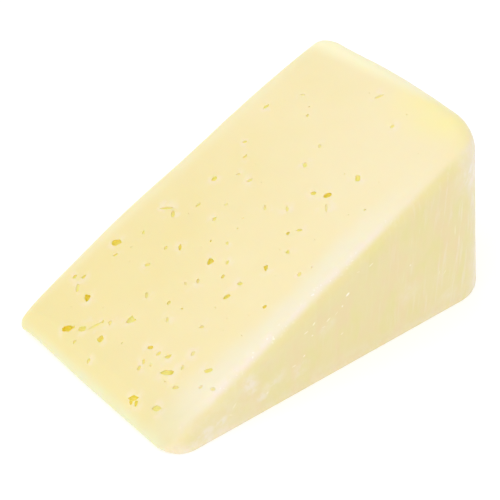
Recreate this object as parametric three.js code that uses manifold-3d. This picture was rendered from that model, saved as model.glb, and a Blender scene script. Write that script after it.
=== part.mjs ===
// A wedge of pale semi-hard cheese with small openings, lying on one of its two cut faces.
//
// Units are millimetres, +Z is up. The wedge is built in the frame of the wheel that it was cut from:
// x runs from the wheel's axis to the rind, y from the near flat side of the wheel to the far one and
// z up from the lower cut face. The finished solid is then moved so that the origin is the middle of
// its box at the height of the resting face.

import * as THREE from 'three';
import Module from 'manifold-3d';
import { mergeVertices } from 'three/addons/utils/BufferGeometryUtils.js';

// The wheel and the cuts.
const WHEEL_RADIUS = 142;       // from the wheel's axis to the foot of the rind
const WIDTH = 70;               // between the wheel's two flat sides
const HEIGHT = 60.25;           // of the upper cut face at the rind, before its edge is rounded
const RIND_LEAN = 11.4;         // the rind's top lies this much nearer the axis than its foot
const RIND_BOW = 7.1;           // the rind curves in by this much from the far side to the near one
const TIP_CUT = 13.5;           // the thin tip is cut off this far from the axis
const FAR_SIDE_SWELL = 2.7;     // the far side is slightly domed

// Radii of the edges.
const NEAR_RIM_FOOT = 15.6;     // upright edge between the near side and the rind, at its foot
const NEAR_RIM_TOP = 13.9;      // and at its top
const FAR_RIM = 7;              // upright edge between the far side and the rind
const NEAR_TIP = 7.4;           // upright edge between the near side and the tip
const FAR_TIP = 0.5;            // upright edge between the far side and the tip
const SOFT_EDGE_AT_TIP = 3.5;   // upper edge of the near side, which widens towards the rind
const SOFT_EDGE_AT_RIND = 6.5;
const FAR_UPPER_EDGE = 1.2;
const RIND_UPPER_EDGE_NEAR = 10.5; // upper edge of the rind at the near side, which narrows from there
const RIND_UPPER_EDGE_FAR = 8.1;
const RIND_EDGE_EASE = 56;      // and keeps its far radius beyond this distance from the near side
const TIP_UPPER_EDGE_NEAR = 4.3; // upper edge of the tip, which widens over its far half
const TIP_UPPER_EDGE_FAR = 5.3;
const NEAR_LOWER_EDGE = 0.5;
const FAR_LOWER_EDGE = 1;
const RIND_LOWER_EDGE = 1;
const TIP_LOWER_EDGE_NEAR = 2;  // lower edge of the tip, which widens in the same way
const TIP_LOWER_EDGE_FAR = 3.6;
const EDGE_BLEND = 2;           // how gradually one radius passes into the next round the rim

// The skin isn't quite flat. It waves everywhere but on the resting face.
const WAVE_HEIGHT = 0.3;
const WAVE_LENGTHS = { long: 63, cross: 71, ripple: 52 };
const WAVE_STARTS = { long: 0.2, cross: 4, ripple: 4 }; // radians
const RIPPLE_SHARE = 0.18;      // height of the ripple, as a share of the wave's
const WAVE_FADE = 9;            // the waves reach full height this far above the resting face

// Mesh density and numerical settings.
const STEPS = { along: 28, across: 16, up: 11 };
const END_CROWDING = 0.5;       // 0 spaces the steps evenly, towards 1 they crowd to both ends
const SKIN_PASSES = 9;
const SLOPE_STEP = 0.01;

// Openings in the upper cut face. Each lies `along` the face from the tip and `across`
// it from the near side, and measures `length` by `width`, with its length turned by `turn` degrees
// from the direction that runs up the face.
const UPPER_OPENINGS = [
  { along: 5.5, across: 53, length: 3.3, width: 2.1, turn: -58 },
  { along: 8, across: 49, length: 2.4, width: 1.8, turn: -50 },
  { along: 11, across: 46.5, length: 4.6, width: 0.9, turn: -25 },
  { along: 9, across: 41.5, length: 2.2, width: 1.9, turn: 40 },
  { along: 15.5, across: 56.5, length: 3, width: 2, turn: 55 },
  { along: 18, across: 66, length: 1.6, width: 1.2, turn: 0 },
  { along: 19.5, across: 63.5, length: 1.6, width: 1.2, turn: 0 },
  { along: 16, across: 62, length: 3, width: 1.2, turn: 47 },
  { along: 33, across: 64.5, length: 3.2, width: 2.2, turn: -55 },
  { along: 18, across: 39, length: 2.8, width: 2.4, turn: 10 },
  { along: 2.5, across: 18.5, length: 3.1, width: 1.8, turn: -58 },
  { along: 13, across: 17, length: 3.6, width: 1.5, turn: -55 },
  { along: 15.5, across: 27, length: 1.8, width: 1.3, turn: -58 },
  { along: 16.5, across: 20.5, length: 2, width: 1.4, turn: -30 },
  { along: 15.5, across: 23.5, length: 1.6, width: 1.2, turn: 0 },
  { along: 11.5, across: 25, length: 1.8, width: 0.8, turn: 50 },
  { along: 9.5, across: 24.5, length: 1.7, width: 1, turn: 30 },
  { along: 21, across: 15.5, length: 1.6, width: 1.1, turn: 20 },
  { along: 16.5, across: 14.5, length: 1.8, width: 1.2, turn: 40 },
  { along: 20, across: 8, length: 2.4, width: 1.3, turn: -35 },
  { along: 11.5, across: 11.5, length: 2, width: 1.2, turn: -58 },
  { along: 15.5, across: 6, length: 1.6, width: 1.2, turn: 0 },
  { along: 17, across: 3, length: 1.5, width: 1.1, turn: -58 },
  { along: 4.5, across: 11, length: 2.6, width: 1.6, turn: -58 },
  { along: 50, across: 61, length: 4.4, width: 1, turn: -55 },
  { along: 49.5, across: 57.5, length: 2.8, width: 1.2, turn: 50 },
  { along: 44, across: 34.5, length: 2.6, width: 2, turn: 35 },
  { along: 65.5, across: 57, length: 2, width: 1.8, turn: 0 },
  { along: 42.5, across: 46, length: 2.4, width: 1, turn: 48 },
  { along: 33, across: 49.5, length: 1.8, width: 1.1, turn: -40 },
  { along: 38.5, across: 21.5, length: 2.1, width: 1.3, turn: -20 },
  { along: 43.5, across: 21.5, length: 1.8, width: 1.2, turn: -60 },
  { along: 51, across: 19, length: 2.4, width: 1.4, turn: 48 },
  { along: 42, across: 10, length: 1.4, width: 1.1, turn: 0 },
  { along: 78, across: 22, length: 2.4, width: 1.8, turn: -20 },
  { along: 74.5, across: 19, length: 3.2, width: 0.8, turn: 45 },
  { along: 76.5, across: 26, length: 1.8, width: 1.5, turn: -60 },
  { along: 87, across: 19, length: 2.7, width: 1.6, turn: 45 },
  { along: 113.5, across: 35.5, length: 3, width: 1, turn: -30 },
  { along: 28, across: 34, length: 1.5, width: 1.1, turn: 20 },
  { along: 26, across: 41.5, length: 2.2, width: 1.1, turn: 50 },
  { along: 106.5, across: 24, length: 1.6, width: 1.2, turn: 0 },
  { along: 42.5, across: 27.5, length: 1.5, width: 1.1, turn: 30 },
  { along: 28, across: 20, length: 1.6, width: 1, turn: -45 },
  { along: 37.5, across: 32.5, length: 1.7, width: 1, turn: 45 },
  { along: 30, across: 61, length: 1.6, width: 1.2, turn: -30 },
  { along: 40, across: 60, length: 1.7, width: 1, turn: 50 },
  { along: 40, across: 49.5, length: 1.5, width: 1.1, turn: 30 },
  { along: 51, across: 35, length: 1.6, width: 1.1, turn: 55 },
  { along: 56, across: 53.5, length: 1.9, width: 1, turn: -5 },
  { along: 76.5, across: 55, length: 1.8, width: 1, turn: -10 },
  { along: 80.5, across: 59.5, length: 1.6, width: 1, turn: -50 },
  { along: 94, across: 64, length: 2.2, width: 1.2, turn: -10 },
  { along: 83, across: 36, length: 2, width: 1.3, turn: 55 },
  { along: 68.5, across: 28.5, length: 2.4, width: 0.9, turn: 50 },
  { along: 65, across: 20, length: 1.9, width: 1, turn: -58 },
  { along: 62.5, across: 22, length: 1.5, width: 1.2, turn: 30 },
  { along: 54.5, across: 9.5, length: 1.7, width: 1.2, turn: 30 },
  { along: 55, across: 45, length: 1.7, width: 1.3, turn: 15 },
  { along: 58, across: 17.5, length: 1.6, width: 1.2, turn: 45 },
  { along: 70.5, across: 46.5, length: 1.8, width: 1.2, turn: -30 },
  { along: 70.5, across: 51.5, length: 1.6, width: 1.1, turn: -60 },
  { along: 60.5, across: 46, length: 1.4, width: 1, turn: -60 },
  { along: 46.5, across: 30, length: 1.6, width: 1, turn: 30 },
  { along: 4, across: 47.5, length: 1.5, width: 1.1, turn: 0 },
  { along: 2.5, across: 39, length: 1.6, width: 1.1, turn: 10 },
  { along: 14, across: 43.5, length: 1.8, width: 1.2, turn: 50 },
  { along: 12, across: 22.5, length: 1.3, width: 0.9, turn: 50 },
  { along: 24, across: 30, length: 1.7, width: 0.9, turn: 45 },
  { along: 35, across: 35, length: 1.6, width: 0.9, turn: 70 },
  { along: 65.5, across: 34.5, length: 2.4, width: 1, turn: 50 },
  { along: 90.5, across: 37.5, length: 1.6, width: 1, turn: 50 },
  { along: 97.5, across: 49.5, length: 1.4, width: 1.1, turn: 35 },
  { along: 103, across: 57, length: 1.7, width: 0.9, turn: -70 },
];
const PLAIN_UP_TO = 1.6;        // an opening this long or shorter has a plainer blob

// Small openings on the lower cut face, drawn by a seeded rule: most of them lie towards the tip.
const LOWER_OPENINGS = {
  seed: 41,
  count: 16,
  shortest: 1,
  longest: 1.9,
  crowdingToTip: 1.35,
  clearance: 4.2,
  edgeMargin: 7,
};
const OPENING_DEPTH = 0.8;      // of an opening's width
const OPENING_SINK = 0.22;      // an opening's middle lies below the skin by this share of its width
const OPENING_RAGGEDNESS = 0.28;
const RESTING_SPOT = 12;        // the lower face stays whole this far round its middle

const SLOPE_ANGLE = Math.atan2(HEIGHT, WHEEL_RADIUS - RIND_LEAN);
const UP_THE_FACE = new THREE.Vector3(Math.cos(SLOPE_ANGLE), 0, Math.sin(SLOPE_ANGLE));
const TIP_ON_FACE = TIP_CUT / Math.cos(SLOPE_ANGLE);
const FACE_LENGTH = Math.hypot(HEIGHT, WHEEL_RADIUS - RIND_LEAN) - TIP_ON_FACE;
const RIND_SLOPE = Math.atan2(RIND_LEAN, HEIGHT);

// The smaller of two depths below two faces, with the edge between the faces rounded.
function roundedEdge(depthA, depthB, radius) {
  if (depthA >= radius || depthB >= radius) return Math.min(depthA, depthB);
  return radius - Math.hypot(radius - depthA, radius - depthB);
}

// An average of radii in which the nearest face counts most.
function radiusByCloseness(pairs) {
  let sum = 0;
  let total = 0;
  for (const [depth, radius] of pairs) {
    const weight = 1 / (Math.max(depth, 0) + EDGE_BLEND) ** 2;
    sum += weight * radius;
    total += weight;
  }
  return sum / total;
}

// How far the uneven skin stands out of the true one.
function skinWave(p) {
  const turn = 2 * Math.PI;
  const long = Math.sin(turn * p.x / WAVE_LENGTHS.long + WAVE_STARTS.long);
  const cross = Math.cos(turn * p.y / WAVE_LENGTHS.cross + WAVE_STARTS.cross);
  const slant = p.x - 0.6 * p.y + 0.8 * p.z;
  const ripple = Math.sin(turn * slant / WAVE_LENGTHS.ripple + WAVE_STARTS.ripple);
  const fade = THREE.MathUtils.smoothstep(p.z, 0, WAVE_FADE);
  return WAVE_HEIGHT * fade * (long * cross + RIPPLE_SHARE * ripple);
}

// How far the rind has curved in at a distance from the near side.
function rindBow(across) {
  return RIND_BOW * (1 - across / WIDTH) ** 2;
}

// Depth of a point below the skin, negative outside.
function depthBelowSkin(p) {
  const lengthwise = THREE.MathUtils.clamp((p.x - TIP_CUT) / (WHEEL_RADIUS - TIP_CUT), 0, 1);
  const nearSide = p.y;
  const farSide = WIDTH + 4 * FAR_SIDE_SWELL * lengthwise * (1 - lengthwise) - p.y;
  const rind = (WHEEL_RADIUS - rindBow(p.y) - p.x) * Math.cos(RIND_SLOPE) - p.z * Math.sin(RIND_SLOPE);
  const tip = p.x - TIP_CUT;
  const upperCut = p.x * Math.sin(SLOPE_ANGLE) - p.z * Math.cos(SLOPE_ANGLE);
  const lowerCut = p.z;

  const upward = THREE.MathUtils.smoothstep(p.z, 0, HEIGHT);
  const nearRim = THREE.MathUtils.lerp(NEAR_RIM_FOOT, NEAR_RIM_TOP, upward);
  const rim = roundedEdge(roundedEdge(rind, nearSide, nearRim), farSide, FAR_RIM);
  const tipRadius = radiusByCloseness([[nearSide, NEAR_TIP], [farSide, FAR_TIP]]);
  const walls = roundedEdge(rim, tip, tipRadius);
  const softEdge = THREE.MathUtils.lerp(SOFT_EDGE_AT_TIP, SOFT_EDGE_AT_RIND, lengthwise);
  const fromNear = THREE.MathUtils.smoothstep(p.y, 0, RIND_EDGE_EASE);
  const rindEdge = THREE.MathUtils.lerp(RIND_UPPER_EDGE_NEAR, RIND_UPPER_EDGE_FAR, fromNear);
  const overFarHalf = THREE.MathUtils.smoothstep(p.y, WIDTH / 2, WIDTH);
  const tipUpper = THREE.MathUtils.lerp(TIP_UPPER_EDGE_NEAR, TIP_UPPER_EDGE_FAR, overFarHalf);
  const tipLower = THREE.MathUtils.lerp(TIP_LOWER_EDGE_NEAR, TIP_LOWER_EDGE_FAR, overFarHalf);
  const upperRadius = radiusByCloseness(
    [[nearSide, softEdge], [farSide, FAR_UPPER_EDGE], [rind, rindEdge], [tip, tipUpper]]);
  const lowerRadius = radiusByCloseness(
    [[nearSide, NEAR_LOWER_EDGE], [farSide, FAR_LOWER_EDGE], [rind, RIND_LOWER_EDGE], [tip, tipLower]]);
  const depth = roundedEdge(roundedEdge(walls, upperCut, upperRadius), lowerCut, lowerRadius);
  return depth + skinWave(p);
}

// The way in which the depth grows fastest, so that its opposite points out of the cheese.
function inward(p) {
  const slope = new THREE.Vector3();
  for (const axis of ['x', 'y', 'z']) {
    const ahead = p.clone();
    const behind = p.clone();
    ahead[axis] += SLOPE_STEP;
    behind[axis] -= SLOPE_STEP;
    slope[axis] = (depthBelowSkin(ahead) - depthBelowSkin(behind)) / (2 * SLOPE_STEP);
  }
  return slope;
}

function movedToSkin(start) {
  const p = start.clone();
  for (let pass = 0; pass < SKIN_PASSES; pass += 1) {
    const slope = inward(p);
    p.addScaledVector(slope, -depthBelowSkin(p) / Math.max(slope.lengthSq(), 0.2));
  }
  return p;
}

// Steps from 0 to 1 that crowd towards both ends, where the edges are rounded.
function crowded(t) {
  return t - END_CROWDING * Math.sin(2 * Math.PI * t) / (2 * Math.PI);
}

// Draws the square patch beside an upright corner in, so that its two outer sides become one arc.
function roundCorner(p, cornerX, cornerY, radius) {
  const inwardX = Math.sign(WHEEL_RADIUS / 2 - cornerX);
  const inwardY = Math.sign(WIDTH / 2 - cornerY);
  const towardsX = 1 - (p.x - cornerX) * inwardX / radius;
  const towardsY = 1 - (p.y - cornerY) * inwardY / radius;
  if (towardsX <= 0 || towardsY <= 0) return;
  const draw = Math.max(towardsX, towardsY) / Math.hypot(towardsX, towardsY);
  p.x = cornerX + inwardX * radius * (1 - towardsX * draw);
  p.y = cornerY + inwardY * radius * (1 - towardsY * draw);
}

// A point of the wedge with sharp cuts and rounded upright edges, from a point of the unit cube.
function onPlainWedge(unit) {
  const along = crowded(unit.x);
  const across = crowded(unit.y);
  const up = crowded(unit.z);
  const farY = WIDTH + 4 * FAR_SIDE_SWELL * along * (1 - along);
  const y = across * farY;
  const rindX = WHEEL_RADIUS - RIND_LEAN * up;
  const p = new THREE.Vector3(THREE.MathUtils.lerp(TIP_CUT, rindX - rindBow(y), along), y, 0);
  roundCorner(p, rindX - RIND_BOW, 0, THREE.MathUtils.lerp(NEAR_RIM_FOOT, NEAR_RIM_TOP, up));
  roundCorner(p, rindX, WIDTH, FAR_RIM);
  roundCorner(p, TIP_CUT, 0, NEAR_TIP);
  roundCorner(p, TIP_CUT, WIDTH, FAR_TIP);
  p.z = Math.min(p.x, WHEEL_RADIUS - RIND_LEAN) * Math.tan(SLOPE_ANGLE) * up;
  return p;
}

function wedgeGeometry() {
  const box = new THREE.BoxGeometry(1, 1, 1, STEPS.along, STEPS.across, STEPS.up);
  box.deleteAttribute('normal');
  box.deleteAttribute('uv');
  const geometry = mergeVertices(box, 1e-6);
  const corners = geometry.attributes.position;
  const half = new THREE.Vector3(0.5, 0.5, 0.5);
  const p = new THREE.Vector3();
  for (let i = 0; i < corners.count; i += 1) {
    const skin = movedToSkin(onPlainWedge(p.fromBufferAttribute(corners, i).add(half)));
    corners.setXYZ(i, skin.x, skin.y, skin.z);
  }
  return geometry;
}

// Numbers from 0 to 1 that come out the same on every run.
function seededNumbers(seed) {
  let state = seed >>> 0;
  return () => {
    state = (Math.imul(state, 1664525) + 1013904223) >>> 0;
    return state / 2 ** 32;
  };
}

// The openings of the lower cut face, clear of each other and of the spot that it rests on.
function lowerOpenings(random) {
  const made = [];
  const { count, shortest, longest, crowdingToTip, clearance, edgeMargin } = LOWER_OPENINGS;
  while (made.length < count) {
    const along = edgeMargin + (FACE_LENGTH - 3 * edgeMargin) * random() ** crowdingToTip;
    const across = edgeMargin + (WIDTH - 2 * edgeMargin) * random();
    const length = THREE.MathUtils.lerp(shortest, longest, random() ** 2);
    const width = length * THREE.MathUtils.lerp(0.55, 0.95, random());
    const turn = 180 * random();
    const free = made.every((o) => Math.hypot(o.along - along, o.across - across) > clearance);
    const fromMiddle = Math.hypot(along - FACE_LENGTH / 2, across - WIDTH / 2);
    if (free && fromMiddle > RESTING_SPOT) made.push({ along, across, length, width, turn });
  }
  return made;
}

// A ragged blob with its middle just under the skin, to be cut out of the cheese.
function openingGeometry(opening, lowerFace, random) {
  const plain = lowerFace || opening.length <= PLAIN_UP_TO;
  const ball = new THREE.IcosahedronGeometry(1, plain ? 0 : 1);
  ball.deleteAttribute('normal');
  ball.deleteAttribute('uv');
  const geometry = mergeVertices(ball, 1e-6);
  const corners = geometry.attributes.position;
  const distance = opening.along + TIP_ON_FACE;
  const onFace = lowerFace
    ? new THREE.Vector3(distance, opening.across, 0)
    : UP_THE_FACE.clone().multiplyScalar(distance).setY(opening.across);
  const skin = movedToSkin(onFace);
  const outward = inward(skin).normalize().negate();
  const middle = skin.clone().addScaledVector(outward, -OPENING_SINK * opening.width);
  const sideways = new THREE.Vector3().crossVectors(outward, UP_THE_FACE).normalize();
  const forward = new THREE.Vector3().crossVectors(sideways, outward);
  const turned = THREE.MathUtils.degToRad(opening.turn);
  const p = new THREE.Vector3();
  for (let i = 0; i < corners.count; i += 1) {
    p.fromBufferAttribute(corners, i);
    p.multiplyScalar(1 + OPENING_RAGGEDNESS * (2 * random() - 1));
    p.multiply(new THREE.Vector3(opening.length / 2, opening.width / 2, opening.width * OPENING_DEPTH));
    p.applyAxisAngle(new THREE.Vector3(0, 0, 1), turned);
    const placed = middle.clone().addScaledVector(forward, p.x);
    placed.addScaledVector(sideways, p.y).addScaledVector(outward, p.z);
    corners.setXYZ(i, placed.x, placed.y, placed.z);
  }
  return geometry;
}

const wasm = await Module();
wasm.setup();

function solidOf(geometry) {
  const vertProperties = Float32Array.from(geometry.attributes.position.array);
  const triVerts = Uint32Array.from(geometry.index.array);
  return new wasm.Manifold(new wasm.Mesh({ numProp: 3, vertProperties, triVerts }));
}

function geometryOf(solid) {
  const mesh = solid.getMesh();
  const geometry = new THREE.BufferGeometry();
  geometry.setAttribute('position', new THREE.BufferAttribute(mesh.vertProperties, 3));
  geometry.setIndex(new THREE.BufferAttribute(mesh.triVerts, 1));
  geometry.computeVertexNormals();
  return geometry;
}

function cheeseWedge() {
  const random = seededNumbers(LOWER_OPENINGS.seed);
  const below = lowerOpenings(random);
  const tools = [
    ...UPPER_OPENINGS.map((opening) => openingGeometry(opening, false, random)),
    ...below.map((opening) => openingGeometry(opening, true, random)),
  ];
  let solid = solidOf(wedgeGeometry());
  for (const tool of tools) {
    solid = solid.subtract(solidOf(tool));
  }
  const material = new THREE.MeshStandardMaterial({ color: '#f6e6b0', roughness: 0.5, metalness: 0 });
  const mesh = new THREE.Mesh(geometryOf(solid), material);
  mesh.name = 'cheese_wedge';
  const box = new THREE.Box3().setFromObject(mesh);
  const middle = box.getCenter(new THREE.Vector3());
  mesh.position.set(-middle.x, -middle.y, -box.min.z);
  return mesh;
}

const object = new THREE.Group();
object.add(cheeseWedge());

export default object;
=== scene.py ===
import logging
import math
from collections.abc import Sequence
from dataclasses import dataclass, field
from enum import Enum

import bmesh
import bpy
import numpy as np
from mathutils import Matrix, Vector, noise


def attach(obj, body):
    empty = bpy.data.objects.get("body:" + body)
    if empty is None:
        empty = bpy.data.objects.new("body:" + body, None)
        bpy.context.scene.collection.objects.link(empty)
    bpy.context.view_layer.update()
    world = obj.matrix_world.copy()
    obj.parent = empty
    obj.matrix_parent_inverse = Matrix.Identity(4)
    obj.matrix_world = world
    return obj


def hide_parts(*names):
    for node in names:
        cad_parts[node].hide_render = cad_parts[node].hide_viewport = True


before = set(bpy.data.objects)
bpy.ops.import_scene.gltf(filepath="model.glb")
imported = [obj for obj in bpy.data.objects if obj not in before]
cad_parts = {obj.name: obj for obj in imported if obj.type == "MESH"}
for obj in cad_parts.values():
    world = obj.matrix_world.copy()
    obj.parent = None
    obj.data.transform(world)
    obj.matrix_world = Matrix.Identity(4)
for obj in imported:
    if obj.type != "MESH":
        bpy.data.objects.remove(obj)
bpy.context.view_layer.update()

MM = 0.001
NODE = "cheese_wedge"
TINY = 1e-9
GOLDEN_SHARE = 0.618

# Where something starts and where it is complete.
Span = tuple[float, float]

log = logging.getLogger("cheese")


# --------------------------------------------------------------------------------------------
# The form. Its sums are in millimetres, in the frame of the wheel that the wedge was cut from:
# x from the wheel's axis to the rind, y from the near flat side to the far one, z up.
# --------------------------------------------------------------------------------------------


def rounded_edge(depth_a: np.ndarray, depth_b: np.ndarray, radius: np.ndarray | float) -> np.ndarray:
    """Joins two faces along an edge of the given radius.

    Args:
        depth_a: Depth of each point below the first face.
        depth_b: Depth of each point below the second face.
        radius: Radius of the edge between them, one number or one for each point.

    Returns:
        Depth of each point below the two faces with their rounded edge.
    """
    arc = radius - np.hypot(radius - depth_a, radius - depth_b)
    return np.where((depth_a < radius) & (depth_b < radius), arc, np.minimum(depth_a, depth_b))


def smooth_step(value: np.ndarray, low: float, high: float) -> np.ndarray:
    """Eases from 0 at low to 1 at high.

    Args:
        value: The numbers to ease.
        low: Where the step starts.
        high: Where the step ends.

    Returns:
        Numbers from 0 to 1.
    """
    t = np.clip((value - low) / (high - low), 0, 1)
    return t * t * (3 - 2 * t)


def blend(first: float, second: float, share: np.ndarray | float) -> np.ndarray | float:
    """The first number where the share is 0, the second where it is 1."""
    return first + (second - first) * share


@dataclass(frozen=True)
class EdgeRadii:
    """Radii of the wedge's edges, in millimetres.

    Where two edges meet, their radii blend, the more gently the larger the `softness` is.
    """

    near_rim_foot: float = 15.6
    near_rim_top: float = 13.9
    far_rim: float = 7.0
    near_tip: float = 7.4
    far_tip: float = 0.5
    soft_edge_at_tip: float = 3.5
    soft_edge_at_rind: float = 6.5
    far_upper: float = 1.2
    rind_upper_near: float = 10.5
    rind_upper_far: float = 8.1
    rind_edge_ease: float = 56.0
    tip_upper_near: float = 4.3
    tip_upper_far: float = 5.3
    near_lower: float = 0.5
    far_lower: float = 1.0
    rind_lower: float = 1.0
    tip_lower_near: float = 2.0
    tip_lower_far: float = 3.6
    softness: float = 2.0

    def near_rim(self, up: np.ndarray) -> np.ndarray:
        """Radius of the near upright rim, for points from 0 at its foot to 1 at its top."""
        return blend(self.near_rim_foot, self.near_rim_top, up)

    def by_closeness(self, *pairs: tuple[np.ndarray, np.ndarray | float]) -> np.ndarray:
        """Averages radii so that the nearest face counts most.

        Args:
            pairs: For each face, the depth below it and the radius of its edge.

        Returns:
            A radius for each point.
        """
        weights = [1 / (np.maximum(depth, 0) + self.softness) ** 2 for depth, _ in pairs]
        total = sum(weight * radius for weight, (_, radius) in zip(weights, pairs))
        return total / sum(weights)


@dataclass(frozen=True)
class SkinWaves:
    """Slow waves of the skin, which fade out towards the resting face. Millimetres."""

    height: float = 0.3
    long: float = 63.0
    long_start: float = 0.2
    cross: float = 71.0
    cross_start: float = 4.0
    ripple: float = 52.0
    ripple_start: float = 4.0
    ripple_share: float = 0.18
    ripple_slant_across: float = -0.6
    ripple_slant_up: float = 0.8
    fade: float = 9.0

    def stand_out(self, points: np.ndarray) -> np.ndarray:
        """How far the skin stands out of the true form.

        Args:
            points: One row for each point.

        Returns:
            A height for each point.
        """
        x, y, z = points.T
        turn = 2 * math.pi
        lengthwise = np.sin(turn * x / self.long + self.long_start)
        slow = lengthwise * np.cos(turn * y / self.cross + self.cross_start)
        slanted = x + self.ripple_slant_across * y + self.ripple_slant_up * z
        quick = np.sin(turn * slanted / self.ripple + self.ripple_start)
        return self.height * smooth_step(z, 0, self.fade) * (slow + self.ripple_share * quick)


@dataclass(frozen=True)
class WedgeForm:
    """The true form of the wedge, in millimetres."""

    wheel_radius: float = 142.0
    width: float = 70.0
    height: float = 60.25
    rind_lean: float = 11.4
    rind_bow: float = 7.1
    tip_cut: float = 13.5
    far_side_swell: float = 2.7
    edges: EdgeRadii = EdgeRadii()
    waves: SkinWaves = SkinWaves()
    end_crowding: float = 0.5
    passes: int = 9
    slope_step: float = 0.01
    least_slope: float = 0.2

    @property
    def slope_angle(self) -> float:
        """Angle between the two cut faces, in radians."""
        return math.atan2(self.height, self.wheel_radius - self.rind_lean)

    @property
    def up_the_face(self) -> np.ndarray:
        """Direction that runs up the upper cut face."""
        return np.array([math.cos(self.slope_angle), 0, math.sin(self.slope_angle)])

    @property
    def tip_on_face(self) -> float:
        """Distance along the upper face from the wheel's axis to the blunt tip."""
        return self.tip_cut / math.cos(self.slope_angle)

    @property
    def face_length(self) -> float:
        """Length of the upper face from the blunt tip to the rind."""
        return math.hypot(self.height, self.wheel_radius - self.rind_lean) - self.tip_on_face

    def far_side(self, lengthwise: np.ndarray) -> np.ndarray:
        """Place of the domed far side, for points from 0 at the tip to 1 at the rind."""
        return self.width + 4 * self.far_side_swell * lengthwise * (1 - lengthwise)

    def bow(self, across: np.ndarray) -> np.ndarray:
        """How far the rind has curved in, for points at these distances from the near side."""
        return self.rind_bow * (1 - across / self.width) ** 2

    def depth_below_skin(self, points: np.ndarray) -> np.ndarray:
        """Depth of points below the skin.

        Args:
            points: One row for each point.

        Returns:
            A depth for each point, negative outside.
        """
        x, y, z = points.T
        e = self.edges
        lean = math.atan2(self.rind_lean, self.height)
        lengthwise = np.clip((x - self.tip_cut) / (self.wheel_radius - self.tip_cut), 0, 1)
        near = y
        far = self.far_side(lengthwise) - y
        rind = (self.wheel_radius - self.bow(y) - x) * math.cos(lean) - z * math.sin(lean)
        tip = x - self.tip_cut
        upper_cut = x * math.sin(self.slope_angle) - z * math.cos(self.slope_angle)

        near_rim = e.near_rim(smooth_step(z, 0, self.height))
        rim = rounded_edge(rounded_edge(rind, near, near_rim), far, e.far_rim)
        walls = rounded_edge(rim, tip, e.by_closeness((near, e.near_tip), (far, e.far_tip)))
        soft_edge = blend(e.soft_edge_at_tip, e.soft_edge_at_rind, lengthwise)
        rind_upper = blend(e.rind_upper_near, e.rind_upper_far, smooth_step(y, 0, e.rind_edge_ease))
        far_half = smooth_step(y, self.width / 2, self.width)
        tip_upper = blend(e.tip_upper_near, e.tip_upper_far, far_half)
        tip_lower = blend(e.tip_lower_near, e.tip_lower_far, far_half)
        faces = (near, far, rind, tip)
        upper = e.by_closeness(*zip(faces, (soft_edge, e.far_upper, rind_upper, tip_upper)))
        lower = e.by_closeness(*zip(faces, (e.near_lower, e.far_lower, e.rind_lower, tip_lower)))
        depth = rounded_edge(rounded_edge(walls, upper_cut, upper), z, lower)
        return depth + self.waves.stand_out(points)

    def inward(self, points: np.ndarray) -> np.ndarray:
        """The way in which the depth grows fastest.

        Args:
            points: One row for each point.

        Returns:
            A vector for each point, not made unit length.
        """
        steps = self.slope_step * np.eye(3)
        sides = [self.depth_below_skin(points + s) - self.depth_below_skin(points - s) for s in steps]
        return np.stack(sides, axis=1) / (2 * self.slope_step)

    def moved_to_skin(self, points: np.ndarray) -> np.ndarray:
        """Moves points onto the skin.

        Args:
            points: One row for each point, near the skin.

        Returns:
            The points on the skin.
        """
        for _ in range(self.passes):
            slope = self.inward(points)
            steepness = np.maximum((slope * slope).sum(axis=1), self.least_slope)
            points = points - slope * (self.depth_below_skin(points) / steepness)[:, None]
        return points

    def crowded(self, t: np.ndarray) -> np.ndarray:
        """Steps from 0 to 1 that crowd towards both ends, where the edges are rounded."""
        return t - self.end_crowding * np.sin(2 * math.pi * t) / (2 * math.pi)

    def round_corner(self, x: np.ndarray, y: np.ndarray, corner_x: np.ndarray | float, corner_y: float,
                     radius: np.ndarray | float) -> tuple[np.ndarray, np.ndarray]:
        """Draws the square patch beside an upright corner in, so that its outer sides become one arc.

        Args:
            x: Distances from the wheel's axis.
            y: Distances from the near side.
            corner_x: The corner's own x, one number or one for each point.
            corner_y: The corner's own y.
            radius: Radius of the arc, one number or one for each point.

        Returns:
            The moved x and y.
        """
        inward_x = np.sign(self.wheel_radius / 2 - corner_x)
        inward_y = math.copysign(1, self.width / 2 - corner_y)
        towards_x = 1 - (x - corner_x) * inward_x / radius
        towards_y = 1 - (y - corner_y) * inward_y / radius
        patch = (towards_x > 0) & (towards_y > 0)
        draw = np.maximum(towards_x, towards_y) / np.maximum(np.hypot(towards_x, towards_y), TINY)
        drawn_x = corner_x + inward_x * radius * (1 - towards_x * draw)
        drawn_y = corner_y + inward_y * radius * (1 - towards_y * draw)
        return np.where(patch, drawn_x, x), np.where(patch, drawn_y, y)

    def on_plain_wedge(self, unit: np.ndarray) -> np.ndarray:
        """Maps the unit cube to the wedge with sharp cuts and rounded upright edges.

        Args:
            unit: One row for each point of the cube from (0, 0, 0) to (1, 1, 1).

        Returns:
            One row for each point of the wedge.
        """
        along, across, up = (self.crowded(t) for t in unit.T)
        rind_x = self.wheel_radius - self.rind_lean * up
        y = across * self.far_side(along)
        x = self.tip_cut + (rind_x - self.bow(y) - self.tip_cut) * along
        x, y = self.round_corner(x, y, rind_x - self.rind_bow, 0, self.edges.near_rim(up))
        x, y = self.round_corner(x, y, rind_x, self.width, self.edges.far_rim)
        x, y = self.round_corner(x, y, self.tip_cut, 0, self.edges.near_tip)
        x, y = self.round_corner(x, y, self.tip_cut, self.width, self.edges.far_tip)
        z = np.minimum(x, self.wheel_radius - self.rind_lean) * math.tan(self.slope_angle) * up
        return np.stack([x, y, z], axis=1)


# --------------------------------------------------------------------------------------------
# The openings.
# --------------------------------------------------------------------------------------------


class Outline(Enum):
    """Outlines of openings in the cut face, by their number of corners."""

    OVAL = 0
    TRIANGLE = 3
    KITE = 4
    RAGGED = 5


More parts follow.
